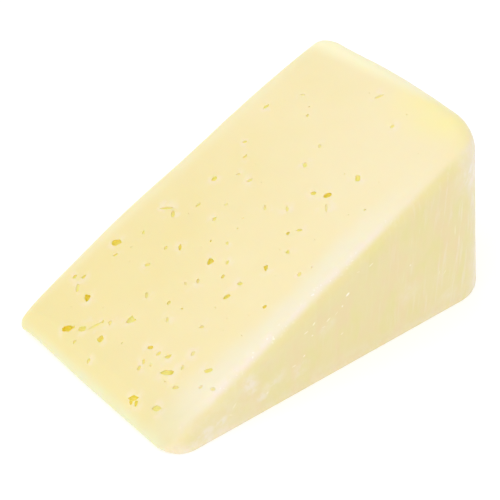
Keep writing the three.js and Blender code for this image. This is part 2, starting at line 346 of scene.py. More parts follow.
class CutFace(Enum):
    """The two cut faces of the wedge."""

    UPPER = "upper"
    LOWER = "lower"


@dataclass(frozen=True)
class Opening:
    """One opening in a cut face. Millimetres and degrees.

    It lies `along` the face from the tip and `across` it from the near side. Its length is turned by
    `turn` from the direction that runs up the face. Its `tone` sets the painted glow inside it, from
    0, pale and greenish, to 1, golden.
    """

    along: float
    across: float
    length: float
    width: float
    turn: float
    outline: Outline = Outline.OVAL
    tone: float = 0.3
    face: CutFace = CutFace.UPPER
    shallow: float = 0.22
    deep: float = 0.62

    @property
    def reach_in(self) -> float:
        """Half the opening's height: pale openings are shallow dishes, golden ones are deep."""
        return self.width * blend(self.shallow, self.deep, self.tone)


class SeededNumbers:
    """Numbers from 0 to 1 that come out the same on every run."""

    FACTOR = 1664525
    STEP = 1013904223
    RANGE = 2**32

    def __init__(self, seed: int) -> None:
        """Starts the row of numbers at a seed."""
        self.state = seed

    def next(self) -> float:
        """The next number."""
        self.state = (self.state * self.FACTOR + self.STEP) % self.RANGE
        return self.state / self.RANGE

    def between(self, low: float, high: float) -> float:
        """The next number, scaled to lie between two others."""
        return blend(low, high, self.next())


@dataclass(frozen=True)
class Scatter:
    """A seeded rule that draws small openings on a cut face. Lengths in millimetres.

    Middles keep their `clearance` from each other, and the face stays whole within the `resting_spot`
    round its middle.
    """

    face: CutFace
    seed: int
    count: int
    shortest: float
    longest: float
    clearance: float
    resting_spot: float = 0.0
    edge_margin: float = 7.0
    margins_lengthwise: int = 3
    crowding_to_tip: float = 1.35
    crowding_to_short: float = 2.0
    slimmest: float = 0.55
    roundest: float = 0.95
    palest: float = 0.15
    tone_span: float = 0.5

    def drawn(self, form: WedgeForm, taken: Sequence[Opening]) -> list[Opening]:
        """Draws the openings, clear of those that are there already.

        Args:
            form: The wedge.
            taken: Openings that are there already.

        Returns:
            The drawn openings.
        """
        numbers = SeededNumbers(self.seed)
        outlines = list(Outline)
        made: list[Opening] = []
        while len(made) < self.count:
            reach = form.face_length - self.margins_lengthwise * self.edge_margin
            along = self.edge_margin + reach * numbers.next() ** self.crowding_to_tip
            across = self.edge_margin + (form.width - 2 * self.edge_margin) * numbers.next()
            length = blend(self.shortest, self.longest, numbers.next() ** self.crowding_to_short)
            width = length * numbers.between(self.slimmest, self.roundest)
            turn = 180 * numbers.next()
            gaps = [math.hypot(other.along - along, other.across - across) for other in [*taken, *made]]
            from_middle = math.hypot(along - form.face_length / 2, across - form.width / 2)
            if min(gaps, default=math.inf) > self.clearance and from_middle > self.resting_spot:
                outline = outlines[len(made) % len(outlines)]
                tone = self.palest + self.tone_span * ((len(made) * GOLDEN_SHARE) % 1)
                made.append(Opening(along, across, length, width, turn, outline, tone, self.face))
        return made


@dataclass(frozen=True)
class OpeningPattern:
    """Where the openings are."""

    lower_face: Scatter = Scatter(CutFace.LOWER, 41, 16, 1.0, 1.9, 4.2, resting_spot=12.0)
    pinholes: Scatter = Scatter(CutFace.UPPER, 907, 40, 0.35, 0.95, 2.6)

    def main(self) -> list[Opening]:
        """The openings that stand out on the upper cut face."""
        oval, triangle, kite, ragged = Outline
        return [
            Opening(5.5, 53, 3.3, 2.1, -58, ragged, 1),
            Opening(6.8, 51.9, 1.3, 1, 0, oval, 0.5),
            Opening(8, 49, 2.4, 1.8, -50, ragged, 0.2),
            Opening(11, 46.5, 4.6, 0.9, -25, oval, 0.25),
            Opening(13, 45.7, 1.2, 0.9, 40, kite, 0.4),
            Opening(9, 41.5, 2.2, 1.9, 40, kite, 0.45),
            Opening(15.5, 56.5, 3, 2, 55, triangle, 0.85),
            Opening(18, 66, 1.6, 1.2, 0, kite, 0.4),
            Opening(19.5, 63.5, 1.6, 1.2, 0, triangle, 0.4),
            Opening(16, 62, 3, 1.2, 47, kite, 0.15),
            Opening(33, 64.5, 3.2, 2.2, -55, ragged, 0.65),
            Opening(18, 39, 2.8, 2.4, 10, triangle, 0.1),
            Opening(18.6, 38, 1.3, 1, -60, triangle, 0.6),
            Opening(2.7, 18.9, 3.1, 1.4, -58, kite, 0.8),
            Opening(1.4, 18.9, 1.7, 1.2, 40, oval, 0.7),
            Opening(2.1, 17.2, 1.7, 1.1, 30, oval, 0.7),
            Opening(13, 17, 3.6, 1.5, -55, kite, 0.3),
            Opening(13.6, 16, 1.7, 1.4, -55, ragged, 0.9),
            Opening(15.5, 27, 1.8, 1.3, -58, oval, 0.6),
            Opening(16.5, 20.5, 2, 1.4, -30, triangle, 0.35),
            Opening(15.5, 23.5, 1.6, 1.2, 0, oval, 0.15),
            Opening(11.5, 25, 1.8, 0.8, 50, oval, 0.35),
            Opening(9.5, 24.5, 1.7, 1, 30, kite, 0.2),
            Opening(21, 15.5, 1.6, 1.1, 20, kite, 0.05),
            Opening(16.5, 14.5, 1.7, 1, 40, triangle, 0),
            Opening(20, 8, 2.4, 1.3, -35, kite, 0.3),
            Opening(11.5, 11.5, 2, 1.2, -58, triangle, 0.08),
            Opening(15.5, 6, 1.4, 1, 0, triangle, 0),
            Opening(17, 3, 1.5, 1.1, -58, kite, 0),
            Opening(4.5, 11, 2.6, 1.6, -58, kite, 0.12),
            Opening(50, 61, 4.4, 1, -55, oval, 0.25),
            Opening(49.5, 57.5, 2.8, 1.2, 50, ragged, 0.2),
            Opening(44, 34.5, 2.6, 2, 35, triangle, 0.6),
            Opening(65.5, 57, 2, 1.8, 0, oval, 0.2),
            Opening(42.5, 46, 2.4, 1, 48, oval, 0.65),
            Opening(33, 49.5, 1.8, 1.1, -40, kite, 0.2),
            Opening(38.5, 21.5, 2.1, 1.3, -20, ragged, 0.55),
            Opening(43.5, 21.5, 1.8, 1.2, -60, kite, 0.2),
            Opening(51, 19, 2.4, 1.4, 48, triangle, 0.62),
            Opening(42, 10, 1.4, 1.1, 0, oval, 0.65),
            Opening(78, 22, 2.4, 1.8, -20, ragged, 0.78),
            Opening(74.5, 19, 3.2, 0.8, 45, oval, 0.1),
            Opening(76.5, 26, 1.8, 1.5, -60, oval, 0.35),
            Opening(87, 19, 2.7, 1.6, 45, kite, 0.33),
            Opening(113.5, 35.5, 3, 1, -30, oval, 0.15),
            Opening(28, 34, 1.5, 1.1, 20, kite, 0.3),
            Opening(26, 41.5, 2.2, 1.1, 50, oval, 0.1),
            Opening(106.5, 24, 1.6, 1.2, 0, oval, 0.05),
            Opening(42.5, 27.5, 1.5, 1.1, 30, kite, 0.3),
            Opening(28, 20, 1.6, 1, -45, triangle, 0.15),
            Opening(37.5, 32.5, 1.7, 1, 45, kite, 0.15),
            Opening(30, 61, 1.6, 1.2, -30, triangle, 0.3),
            Opening(40, 60, 1.7, 1, 50, triangle, 0.15),
            Opening(40, 49.5, 1.5, 1.1, 30, oval, 0.25),
            Opening(51, 35, 1.6, 1.1, 55, triangle, 0.1),
            Opening(56, 53.5, 1.9, 1, -5, kite, 0.2),
            Opening(76.5, 55, 1.8, 1, -10, triangle, 0.35),
            Opening(80.5, 59.5, 1.6, 1, -50, kite, 0.4),
            Opening(94, 64, 2.2, 1.2, -10, kite, 0.3),
            Opening(83, 36, 2, 1.3, 55, kite, 0.12),
            Opening(68.5, 28.5, 2.4, 0.9, 50, kite, 0.2),
            Opening(65, 20, 1.9, 1, -58, oval, 0.3),
            Opening(62.5, 22, 1.5, 1.2, 30, triangle, 0.5),
            Opening(54.5, 9.5, 1.7, 1.2, 30, oval, 0.05),
            Opening(55, 45, 1.7, 1.3, 15, kite, 0.15),
            Opening(58, 17.5, 1.6, 1.2, 45, triangle, 0.2),
            Opening(70.5, 46.5, 1.8, 1.2, -30, ragged, 0.1),
            Opening(70.5, 51.5, 1.6, 1.1, -60, triangle, 0),
            Opening(60.5, 46, 1.4, 1, -60, kite, 0.05),
            Opening(46.5, 30, 1.6, 1, 30, oval, 0.2),
            Opening(4, 47.5, 1.5, 1.1, 0, triangle, 0.15),
            Opening(2.5, 39, 1.6, 1.1, 10, kite, 0.15),
            Opening(14, 43.5, 1.8, 1.2, 50, triangle, 0),
            Opening(12, 22.5, 1.3, 0.9, 50, kite, 0.05),
            Opening(24, 30, 1.7, 0.9, 45, kite, 0.1),
            Opening(35, 35, 1.6, 0.9, 70, triangle, 0.05),
            Opening(65.5, 34.5, 2.4, 1, 50, triangle, 0.05),
            Opening(90.5, 37.5, 1.6, 1, 50, kite, 0.1),
            Opening(97.5, 49.5, 1.4, 1.1, 35, triangle, 0.15),
            Opening(103, 57, 1.7, 0.9, -70, kite, 0.1),
        ]

    def all(self, form: WedgeForm) -> list[Opening]:
        """All openings of the wedge.

        Args:
            form: The wedge.

        Returns:
            Those of the upper cut face, those of the lower one and the pinholes.
        """
        main = self.main()
        return [*main, *self.lower_face.drawn(form, []), *self.pinholes.drawn(form, main)]


@dataclass(frozen=True)
class SideMark:
    """A whitish mark on the near flat side. Millimetres and degrees.

    Its middle lies `x` from the wheel's axis and `z` up. Its length is turned by `turn` from the level,
    and `strength` runs from 0, not to be seen, to 1.
    """

    x: float
    z: float
    length: float
    width: float
    turn: float
    strength: float


@dataclass(frozen=True)
class SidePattern:
    """The whitish marks on the near flat side."""

    def dashes(self) -> list[SideMark]:
        """Short dashes that a wrapping's folds left, painted white as scratches and their highlight."""
        return [
            SideMark(79.7, 29.5, 2.1, 0.55, 24, 0.6),
            SideMark(71.5, 23.9, 1.8, 0.95, 28, 1),
            SideMark(69.7, 21, 0.8, 0.7, 40, 0.8),
            SideMark(67.7, 19.7, 1.7, 0.4, 36, 0.4),
            SideMark(64.8, 19, 2, 0.6, 29, 0.65),
            SideMark(59.6, 20.2, 1.5, 0.7, 43, 0.75),
            SideMark(75, 29.3, 1.5, 0.45, -9, 0.35),
            SideMark(56.9, 18.7, 1.8, 0.6, 13, 0.6),
            SideMark(59.2, 16.7, 0.8, 0.6, 7, 0.7),
            SideMark(70.1, 12, 1.3, 0.55, 16, 0.5),
            SideMark(63.2, 17.5, 1.6, 0.4, 0, 0.4),
            SideMark(56.5, 11.5, 1.1, 0.6, 35, 0.8),
            SideMark(53, 10, 1.9, 0.6, 0, 0.5),
            SideMark(44, 6, 1, 0.6, 35, 0.6),
            SideMark(33.2, 7.6, 2.5, 0.45, 48, 0.45),
            SideMark(32, 5.3, 1.6, 0.35, -27, 0.4),
            SideMark(107.4, 15.4, 1.6, 0.45, 71, 0.45),
            SideMark(109.8, 14.6, 1.8, 0.5, 57, 0.45),
            SideMark(112.2, 27.3, 4.2, 0.45, -82, 0.5),
            SideMark(114.5, 23.3, 5, 0.4, -82, 0.35),
            SideMark(95, 23, 0.9, 0.7, 0, 0.6),
        ]

    def patches(self) -> list[SideMark]:
        """Soft chalky patches."""
        return [
            SideMark(38.5, 11.3, 8, 11, 20, 0.8),
            SideMark(42.5, 5.8, 7, 5, 10, 0.7),
            SideMark(29, 4.6, 7, 5, 30, 0.8),
            SideMark(24, 3.5, 11, 6, 20, 0.85),
            SideMark(46, 8.5, 13, 7, 20, 0.55),
            SideMark(55, 7.5, 13, 8, 20, 0.45),
            SideMark(64.5, 16.8, 9, 5, 20, 0.45),
            SideMark(118, 43, 17, 18, 10, 1),
            SideMark(121, 31.8, 7, 18, 0, 0.6),
            SideMark(112.5, 5.8, 14, 6, 15, 0.4),
            SideMark(95.5, 13.8, 12, 9, 15, 0.35),
        ]


# --------------------------------------------------------------------------------------------
# Shader sums.
# --------------------------------------------------------------------------------------------


class Shade:
    """One output of a shader node, so that shader values can be written as Python sums."""

    def __init__(self, tree: "ShaderTree", socket: bpy.types.NodeSocket) -> None:
        """Wraps a node's output socket."""
        self.tree = tree
        self.socket = socket

    def _sum(self, operation: str, first: "Shade | float", second: "Shade | float") -> "Shade":
        """Adds one Math node.

        Args:
            operation: The Math node's operation.
            first: Its first value.
            second: Its second value.

        Returns:
            The result.
        """
        node = self.tree.add("ShaderNodeMath", {"operation": operation}, {0: first, 1: second})
        return self.tree.output(node)

    def __add__(self, other: "Shade | float") -> "Shade":
        """This value plus another."""
        return self._sum("ADD", self, other)

    def __radd__(self, other: float) -> "Shade":
        """A number plus this value."""
        return self._sum("ADD", other, self)

    def __sub__(self, other: "Shade | float") -> "Shade":
        """This value less another."""
        return self._sum("SUBTRACT", self, other)

    def __rsub__(self, other: float) -> "Shade":
        """A number less this value."""
        return self._sum("SUBTRACT", other, self)

    def __mul__(self, other: "Shade | float") -> "Shade":
        """This value times another."""
        return self._sum("MULTIPLY", self, other)

    def __truediv__(self, other: "Shade | float") -> "Shade":
        """This value divided by another."""
        return self._sum("DIVIDE", self, other)

    def at_least(self, other: "Shade | float") -> "Shade":
        """The larger of this value and another."""
        return self._sum("MAXIMUM", self, other)

    def at_most(self, other: "Shade | float") -> "Shade":
        """The smaller of this value and another."""
        return self._sum("MINIMUM", self, other)

    def clamped(self) -> "Shade":
        """This value, kept between 0 and 1."""
        return self.at_least(0.0).at_most(1.0)

    def eased(self, low: float, high: float) -> "Shade":
        """Eases from 0 where this value is low to 1 where it is high.

        Args:
            low: Value that gives 0. It may be larger than high.
            high: Value that gives 1.

        Returns:
            A value from 0 to 1.
        """
        if low > high:
            return 1 - self.eased(high, low)
        settings = {"interpolation_type": "SMOOTHSTEP", "clamp": True}
        values = {"Value": self, "From Min": low, "From Max": high}
        return self.tree.output(self.tree.add("ShaderNodeMapRange", settings, values))


@dataclass(frozen=True)
class Paint:
    """A colour as a paint chart gives it, with each channel from 0 to 255."""

    red: float
    green: float
    blue: float

    def linear(self) -> tuple[float, float, float, float]:
        """The colour as a shader takes it."""
        def channel(value: float) -> float:
            """One channel, made linear by the standard curve."""
            share = value / 255
            return share / 12.92 if share <= 0.04045 else ((share + 0.055) / 1.055) ** 2.4

        return channel(self.red), channel(self.green), channel(self.blue), 1.0


@dataclass(frozen=True)
class Clouds:
    """Soft noise around 0.5.

    `size` is that of a blotch in millimetres, and `roughness` the weight of the finer layers, of which
    there are `detail`. A `span`, where there is one, is eased to run from 0 to 1. An `upright` below 1
    draws the blotches out upwards, and `turn` turns the pattern about the upright axis, in degrees.
    """

    size: float
    detail: float = 2.0
    roughness: float = 0.5
    span: Span | None = None
    upright: float = 1.0
    turn: float = 0.0


class ShaderTree:
    """A material's nodes, all of which are added through one method."""

    def __init__(self, name: str) -> None:
        """Starts a new material with an empty node tree.

        Args:
            name: The material's name.
        """
        self.material = bpy.data.materials.new(name)
        self.material.use_nodes = True
        self.nodes = self.material.node_tree.nodes
        self.links = self.material.node_tree.links
        self.nodes.clear()

    def add(self, kind: str, settings: dict[str, object] | None = None,
            values: dict[str | int, object] | None = None) -> bpy.types.Node:
        """Adds a node.

        Args:
            kind: The node's type.
            settings: Its properties, which are set first.
            values: A value, a colour or another node's output for each socket, by name or number.

        Returns:
            The node.
        """
        node = self.nodes.new(kind)
        for name, setting in (settings or {}).items():
            setattr(node, name, setting)
        for name, value in (values or {}).items():
            if isinstance(value, Shade):
                self.links.new(value.socket, node.inputs[name])
            elif isinstance(value, Paint):
                node.inputs[name].default_value = value.linear()
            else:
                node.inputs[name].default_value = value
        return node

    def output(self, node: bpy.types.Node, name: str | int = 0) -> Shade:
        """One output of a node, ready for sums."""
        return Shade(self, node.outputs[name])

    def object_millimetres(self) -> tuple[Shade, Shade, Shade, Shade]:
        """Works out the place on the object in millimetres.

        Returns:
            The place as a vector, and its x, y and z.
        """
        coordinates = self.add("ShaderNodeTexCoord")
        scaled = self.add("ShaderNodeVectorMath", {"operation": "SCALE"},
                          {0: self.output(coordinates, "Object"), "Scale": 1 / MM})
        place = self.output(scaled)
        parts = self.add("ShaderNodeSeparateXYZ", None, {0: place})
        return place, self.output(parts, 0), self.output(parts, 1), self.output(parts, 2)

    def clouds(self, place: Shade, clouds: Clouds) -> Shade:
        """Soft noise.

        Args:
            place: The place on the object.
            clouds: What the noise is like.

        Returns:
            A value from 0 to 1.
        """
        if clouds.upright != 1.0:
            place = self.output(self.add("ShaderNodeMapping", {"vector_type": "TEXTURE"}, {
                "Vector": place,
                "Rotation": (0, 0, math.radians(clouds.turn)),
                "Scale": (1, 1, 1 / clouds.upright),
            }))
        noise_node = self.add("ShaderNodeTexNoise", None, {
            "Vector": place,
            "Scale": 1 / clouds.size,
            "Detail": clouds.detail,
            "Roughness": clouds.roughness,
        })
        value = self.output(noise_node)
        return value.eased(*clouds.span) if clouds.span else value

    def blot(self, flat: Shade, mark: SideMark, firm: float) -> Shade:
        """An oval on a flat face.

        Args:
            flat: The place on the face, as a vector whose z is 0.
            mark: Where the oval is, and how large and strong.
            firm: Share of the oval's half width that is at full strength.

        Returns:
            The mark's strength inside the oval, which fades to 0 at its rim.
        """
        inside = self.add("ShaderNodeMapping", {"vector_type": "TEXTURE"}, {
            "Vector": flat,
            "Location": (mark.x, mark.z, 0),
            "Rotation": (0, 0, math.radians(mark.turn)),
            "Scale": (mark.length / 2, mark.width / 2, 1),
        })
        reach = self.add("ShaderNodeVectorMath", {"operation": "LENGTH"}, {0: self.output(inside)})
        return self.output(reach, "Value").eased(1.0, firm) * mark.strength

    def mixed(self, share: Shade | float, first: Shade | Paint, second: Shade | Paint) -> Shade:
        """Mixes two colours.

        Args:
            share: 0 for the first colour, 1 for the second.
            first: One colour.
            second: The other colour.

        Returns:
            The mixed colour.
        """
        node = self.add("ShaderNodeMix", {"data_type": "RGBA"}, {0: share, 6: first, 7: second})
        return self.output(node, 2)


# --------------------------------------------------------------------------------------------
# Finishes.
# --------------------------------------------------------------------------------------------


@dataclass(frozen=True)
class Spot:
    """Where a point of the cheese lies, as shader values in millimetres.

    `along` and `across` run over the upper cut face, from the tip and from the near side. `below_cut`
    is the depth below that face, `on_upper` is 1 on it and 0 well below it, and `flat` is the distance
    from the wheel's axis and the height as one vector.
    """

    tree: ShaderTree
    place: Shade
    height: Shade
    from_axis: Shade
    along: Shade
    across: Shade
    below_cut: Shade
    on_upper: Shade
    flat: Shade

    def clouds(self, clouds: Clouds) -> Shade:
        """Soft noise at the point."""
        return self.tree.clouds(self.place, clouds)

    def strongest(self, marks: Sequence[SideMark], firm: float) -> Shade:
        """Lays marks on a flat side.

        Args:
            marks: The marks.
            firm: Share of each mark's half width that is at full strength.

        Returns:
            The strength of the strongest mark at the point.
        """
        first, *others = (self.tree.blot(self.flat, mark, firm) for mark in marks)
        for blot in others:
            first = first.at_least(blot)
        return first


@dataclass(frozen=True)
class PasteBody:
    """The paste's own colour: a little deeper towards the tip, with faint clouds."""

    deep: Paint = Paint(233, 218, 160)
    pale: Paint = Paint(237, 224, 183)
    clouds: Clouds = Clouds(26.0, 3.0, 0.55)
    cloud_share: float = 0.9
    paler_along: Span = (-10.0, 125.0)
    along_share: float = 0.75
    paler_across: Span = (65.0, 8.0)
    across_share: float = 0.55
    less_all_over: float = 0.12

    def colour(self, spot: Spot) -> Shade:
        """Mixes the deep and the pale paste.

        Args:
            spot: Where the point lies.

        Returns:
            The colour.
        """
        across = spot.across.eased(*self.paler_across) * self.across_share - self.less_all_over
        clouds = (spot.clouds(self.clouds) - 0.5) * self.cloud_share
        share = spot.along.eased(*self.paler_along) * self.along_share + across + clouds
        return spot.tree.mixed(share.clamped(), self.deep, self.pale)


@dataclass(frozen=True)
class SoftEdge:
    """A painted highlight along the near upper edge: a pale band and a brighter whitish ridge, with whitish
    crumbs on the ridge.
    """

    # Colours of the painted highlight band and ridge, and of the crumbs.
    band_highlight: Paint = Paint(234, 227, 201)
    ridge: Paint = Paint(238, 226, 213)
    crumb: Paint = Paint(250, 243, 235)
    fade_along: Span = (108.0, 65.0)
    waver: Clouds = Clouds(14.0)
    waver_reach: float = 6.0
    band_width: float = 14.0
    band_loss: float = 3.5
    band_loss_along: Span = (0.0, 45.0)
    band_fade: Span = (1.0, 0.35)
    band_strength: float = 0.85
    ridge_across: Span = (4.0, 1.2)
    ridge_patches: Clouds = Clouds(4.0, span=(0.35, 0.62))
    ridge_least: float = 0.2
    ridge_patchy: float = 0.7
    crumbs_across: Span = (3.4, 1.6)
    crumbs: Clouds = Clouds(0.9, 1.0, span=(0.62, 0.7))
    crumb_groups: Clouds = Clouds(9.0, 1.0, span=(0.45, 0.6))

    def over(self, spot: Spot, colour: Shade) -> Shade:
        """Lays the painted highlight band and ridge, and the crumbs, over the paste.

        Args:
            spot: Where the point lies.
            colour: The colour so far.

        Returns:
            The new colour.
        """
        tree = spot.tree
        # A wavering pale band of painted highlight, narrower away from the tip and fading out towards the
        # rind.
        here = spot.on_upper * spot.along.eased(*self.fade_along)
        waver = (spot.clouds(self.waver) - 0.5) * self.waver_reach
        width = self.band_width - spot.along.eased(*self.band_loss_along) * self.band_loss
        band = ((spot.across + waver) / width).eased(*self.band_fade) * here
        colour = tree.mixed(band * self.band_strength, colour, self.band_highlight)
        # A patchy, brighter ridge of painted highlight right at the near edge, with whitish crumbs on it.
        patchy = self.ridge_least + spot.clouds(self.ridge_patches) * self.ridge_patchy
        ridge = spot.across.eased(*self.ridge_across) * here * patchy
        colour = tree.mixed(ridge, colour, self.ridge)
        crumbs = spot.clouds(self.crumbs) * spot.across.eased(*self.crumbs_across) * here
        return tree.mixed(crumbs * spot.clouds(self.crumb_groups), colour, self.crumb)


@dataclass(frozen=True)
class ThinRims:
    """Painted glow of light shining through where the cheese is thin, greenish at the tip and far edge;
    painted shade on the tip's rounded near corner; yellow tints at the rind.
    """

    width: float
    # Painted glow through the thin tip and edges, painted shade on the tip's near corner, then the rind's
    # tints.
    nose: Paint = Paint(230, 217, 157)
    near_nose_shade: Paint = Paint(222, 211, 156)
    thin_edge_glow: Paint = Paint(235, 228, 188)
    tip_edge_glow: Paint = Paint(225, 227, 192)
    rim_yellow: Paint = Paint(240, 229, 163)
    rim_edge: Paint = Paint(242, 237, 200)
    near_part: Span = (20.0, 6.0)
    nose_along: Span = (16.0, -1.0)
    nose_strength: float = 0.65
    near_nose_less: float = 0.05
    tip_along: Span = (1.4, -2.2)
    past_far_edge: Span = (-4.0, 1.5)
    patches: Clouds = Clouds(9.0, span=(0.2, 0.7))
    edge_least: float = 0.35
    edge_patchy: float = 0.5
    corner_along: Span = (103.0, 118.0)
    corner_across: Span = (40.0, 14.0)
    corner_least: float = 0.6
    corner_patchy: float = 0.4
    rind_along: Span = (117.5, 122.5)
    rind_across: Span = (12.0, 28.0)
    rind_least: float = 0.45
    rind_more: float = 0.4

    def over(self, spot: Spot, colour: Shade) -> Shade:
        """Paints the glow and the shade at the thin rims, and tints the rind.

        Args:
            spot: Where the point lies.
            colour: The colour so far.

        Returns:
            The new colour.
        """
        tree = spot.tree
        # Painted glow near the thin tip, and painted shade where the tip's rounded corner meets the near
        # side.
        nearness = spot.across.eased(*self.near_part)
        nose = spot.along.eased(*self.nose_along) * (self.nose_strength - nearness * self.near_nose_less)
        colour = tree.mixed(nose, colour, tree.mixed(nearness, self.nose, self.near_nose_shade))
        patchy = spot.clouds(self.patches)
        thin = self.edge_least + patchy * self.edge_patchy
        # Painted glow of light through the thin far edge and the tip's edge.
        at_far_edge = (spot.across - self.width).eased(*self.past_far_edge) * spot.on_upper
        colour = tree.mixed(at_far_edge * thin, colour, self.thin_edge_glow)
        colour = tree.mixed(spot.along.eased(*self.tip_along) * thin, colour, self.tip_edge_glow)
        in_corner = spot.along.eased(*self.corner_along) * spot.across.eased(*self.corner_across)
        yellow = in_corner * spot.on_upper * (self.corner_least + patchy * self.corner_patchy)
        colour = tree.mixed(yellow, colour, self.rim_yellow)
        rind_strength = self.rind_least + spot.across.eased(*self.rind_across) * self.rind_more
        at_rind = spot.along.eased(*self.rind_along) * rind_strength * spot.on_upper
        return tree.mixed(at_rind, colour, self.rim_edge)


@dataclass(frozen=True)
class Chalk:
    """Whitish bloom on a flat side: soft patches, smears, and more of it along the side's rims.

    The strength of each part is its least one and how much its ragged clouds add.
    """

    paint: Paint = Paint(238, 227, 209)
    ragged: Clouds = Clouds(3.0, 3.0, 0.65, (0.38, 0.62))
    smears: Clouds = Clouds(1.5, 3.0, 0.6, (0.5, 0.7), upright=0.12)
    smear_least: float = 0.1
    smear_more: float = 0.35
    smear_more_from_axis: Span = (75.0, 120.0)
    patch_firmness: float = 0.2
    patch_strength: tuple[float, float] = (0.3, 0.7)
    foot_height: Span = (7.0, 1.0)
    rind_from_axis: Span = (118.0, 125.0)
    tip_from_axis: Span = (60.0, 20.0)
    rim_strength: tuple[float, float] = (0.12, 0.22)
    corner_from_axis: Span = (106.0, 121.0)
    corner_height: Span = (33.0, 42.0)
    corner_strength: tuple[float, float] = (0.6, 0.4)
    rind_line_from_axis: Span = (123.0, 126.5)
    rind_line_strength: tuple[float, float] = (0.35, 0.3)
    tip_foot_height: Span = (6.0, 0.5)
    tip_foot_from_axis: Span = (52.0, 24.0)
    tip_foot_strength: tuple[float, float] = (0.45, 0.4)

    def strength(self, spot: Spot, patches: Sequence[SideMark]) -> Shade:
        """Works out how chalky each point is.

        Args:
            spot: Where the point lies.
            patches: The soft patches.

        Returns:
            A value from 0 to 1.
        """
        ragged = spot.clouds(self.ragged)
        rim = spot.height.eased(*self.foot_height)
        rim = rim.at_least(spot.from_axis.eased(*self.rind_from_axis))
        rim = rim.at_least(spot.from_axis.eased(*self.tip_from_axis))
        corner = spot.from_axis.eased(*self.corner_from_axis) * spot.height.eased(*self.corner_height)
        rind_line = spot.from_axis.eased(*self.rind_line_from_axis)
        tip_foot = spot.height.eased(*self.tip_foot_height) * spot.from_axis.eased(*self.tip_foot_from_axis)
        towards_rind = spot.from_axis.eased(*self.smear_more_from_axis)
        strongest = spot.clouds(self.smears) * (self.smear_least + towards_rind * self.smear_more)
        for part, (least, more) in (
            (spot.strongest(patches, self.patch_firmness), self.patch_strength),
            (rim, self.rim_strength),
            (corner, self.corner_strength),
            (rind_line, self.rind_line_strength),
            (tip_foot, self.tip_foot_strength),
        ):
            strongest = strongest.at_least(part * (least + ragged * more))
        return strongest


@dataclass(frozen=True)
class FlatSides:
    """The flat sides: mottling, a greenish strip under the upper edge, chalk, and dashes of scratch and
    painted highlight.
    """

    width: float
    pattern: SidePattern = SidePattern()
    chalk: Chalk = Chalk()
    plain: Paint = Paint(230, 217, 165)
    peach: Paint = Paint(232, 212, 167)
    greenish: Paint = Paint(227, 217, 154)
    under_edge: Paint = Paint(231, 222, 159)
    scratch_and_glint: Paint = Paint(252, 242, 222)
    near_below_edge: Span = (-1.4, 1.8)
    near_across: Span = (9.0, 3.0)
    past_far_edge: Span = (-0.5, 0.8)
    far_below_edge: Span = (1.5, 4.0)
    far_chalk_less: float = 0.5
    mottling: float = 0.7
    peach_clouds: Clouds = Clouds(7.0, 3.0, 0.6, (0.42, 0.64), upright=0.5)
    greenish_clouds: Clouds = Clouds(9.0, 3.0, 0.6, (0.48, 0.66), upright=0.6, turn=90.0)
    strip_depth: Span = (6.0, 2.0)
    strip_from_axis: Span = (138.0, 118.0)
    strip_clouds: Clouds = Clouds(7.0, 1.0)
    strip_least: float = 0.1
    strip_patchy: float = 0.55
    dash_firmness: float = 0.45

    def near(self, spot: Spot) -> Shade:
        """1 on the near flat side, 0 away from it."""
        below_edge = (spot.below_cut - spot.across).eased(*self.near_below_edge)
        return below_edge * spot.across.eased(*self.near_across)

    def far(self, spot: Spot) -> Shade:
        """1 on the far flat side, 0 away from it."""
        past_edge = (spot.across - self.width).eased(*self.past_far_edge)
        return past_edge * spot.below_cut.eased(*self.far_below_edge)

    def dashes(self, spot: Spot) -> Shade:
        """Strength of the short dashes on the near side, painted white as scratches and their highlight."""
        return spot.strongest(self.pattern.dashes(), self.dash_firmness) * self.near(spot)

    def colour(self, spot: Spot) -> Shade:
        """Colours a flat side, without its dashes.

        Args:
            spot: Where the point lies.

        Returns:
            The colour.
        """
        tree = spot.tree
        colour = tree.mixed(spot.clouds(self.peach_clouds) * self.mottling, self.plain, self.peach)
        colour = tree.mixed(spot.clouds(self.greenish_clouds) * self.mottling, colour, self.greenish)
        strip = spot.below_cut.eased(*self.strip_depth) * spot.from_axis.eased(*self.strip_from_axis)
        patchy = self.strip_least + spot.clouds(self.strip_clouds) * self.strip_patchy
        colour = tree.mixed(strip * patchy, colour, self.under_edge)
        chalky = self.chalk.strength(spot, self.pattern.patches())
        return tree.mixed(chalky * (1.0 - self.far(spot) * self.far_chalk_less), colour, self.chalk.paint)


@dataclass(frozen=True)
class Hollows:
    """The insides of the openings, painted pale or golden as the glow of bounced light, and a painted
    highlight beside the large ones.

    They read the point attributes `hollow`, `tone` and `rim`.
    """

    # Painted glow inside the openings, pale or golden, and the painted highlight beside the large ones.
    pale: Paint = Paint(235, 228, 142)
    gold_glow: Paint = Paint(240, 221, 74)
    rim_highlight: Paint = Paint(239, 224, 209)
    rim_highlight_patches: Clouds = Clouds(3.2, span=(0.46, 0.62))
    rim_highlight_strength: float = 0.35
    unevenness: Clouds = Clouds(1.4, 1.0)
    uneven_share: float = 0.9
    inside: Span = (0.0, 0.32)

    def over(self, spot: Spot, colour: Shade) -> Shade:
        """Paints the glow inside the openings and the highlight beside the large ones.

        Args:
            spot: Where the point lies.
            colour: The colour so far.

        Returns:
            The new colour.
        """
        tree = spot.tree
        hollow, tone, rim = (
            tree.output(tree.add("ShaderNodeAttribute", {"attribute_name": name}), "Fac")
            for name in ("hollow", "tone", "rim")
        )
        # A patchy painted highlight on the paste beside the large openings.
        colour = tree.mixed(rim * spot.clouds(self.rim_highlight_patches) * self.rim_highlight_strength, colour, self.rim_highlight)
        # The insides get a painted glow, pale or golden by each opening's tone.
        varied = (tone + (spot.clouds(self.unevenness) - 0.5) * self.uneven_share).clamped()
        return tree.mixed(hollow.eased(*self.inside), colour, tree.mixed(varied, self.pale, self.gold_glow))


